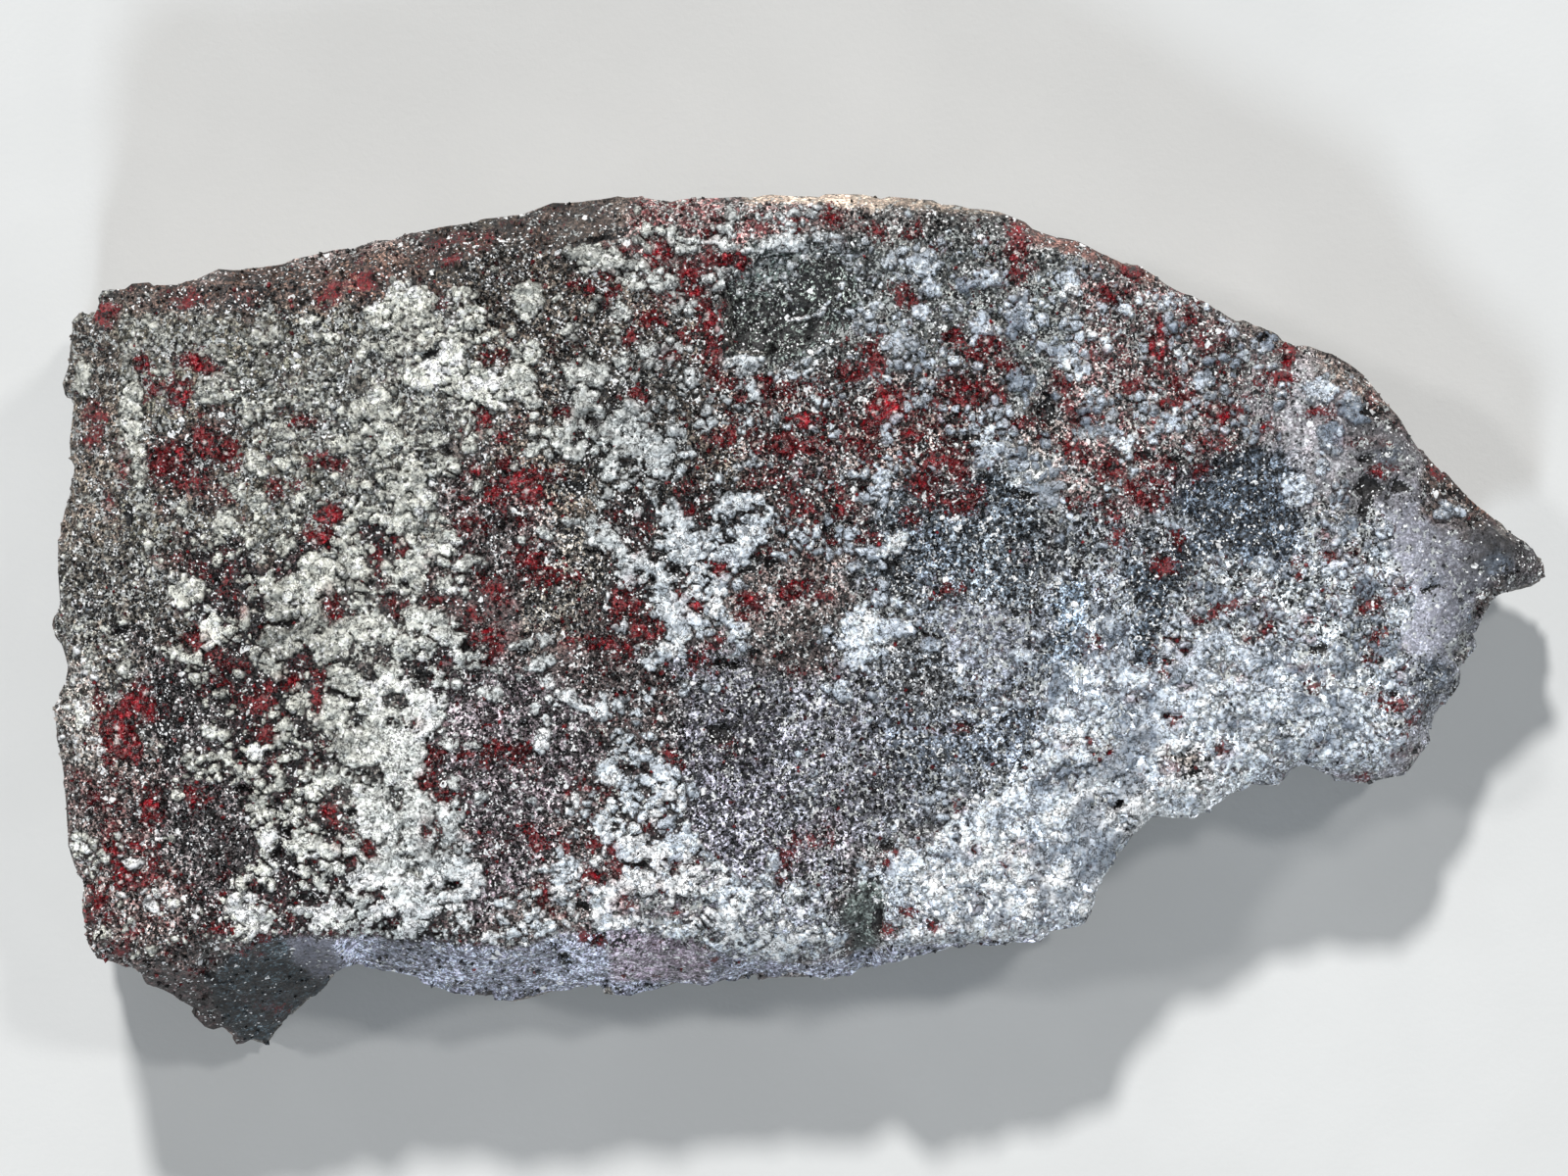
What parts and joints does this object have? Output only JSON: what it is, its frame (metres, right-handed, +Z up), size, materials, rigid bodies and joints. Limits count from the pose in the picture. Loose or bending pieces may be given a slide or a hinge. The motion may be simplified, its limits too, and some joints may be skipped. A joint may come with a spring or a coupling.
{
  "type": "cinnabar on matrix",
  "caption": "Broken rock slab that lies flat, its upper face crusted with white calcite and red cinnabar crystals.",
  "frame": {"origin": "centre of the slab's bounding box in plan, on the surface that it lies on", "axes": "+X along the slab towards its pointed end, +Y across it, +Z up through the crystal face"},
  "size_m": [0.1532, 0.0886, 0.0296],
  "materials": {
    "matrix": "rough, dull to vitreous on its fine druse",
    "calcite": "vitreous, white to cream, slightly translucent",
    "cinnabar": "adamantine, bright to deep red"
  },
  "bodies": {
    "root": {"matrix": "matrix", "calcite_crust_upper_left": "calcite", "calcite_crust_left": "calcite", "calcite_crust_lower_left": "calcite", "calcite_crust_front_left": "calcite", "calcite_crust_front_middle": "calcite", "calcite_crust_middle": "calcite", "calcite_crust_centre": "calcite", "calcite_crust_right": "calcite", "cinnabar_patch_far_left": "cinnabar", "cinnabar_patch_lower_left": "cinnabar", "cinnabar_patch_left_hollow": "cinnabar", "cinnabar_patch_upper_left": "cinnabar", "cinnabar_patch_middle_left": "cinnabar", "cinnabar_patch_middle": "cinnabar", "cinnabar_vein_middle": "cinnabar", "cinnabar_vein_top": "cinnabar", "cinnabar_patch_centre": "cinnabar", "cinnabar_patch_centre_right": "cinnabar", "cinnabar_patch_ring": "cinnabar", "cinnabar_patch_upper_right": "cinnabar", "cinnabar_patch_shoulder": "cinnabar", "cinnabar_patch_right": "cinnabar"}
  },
  "joints": []
}
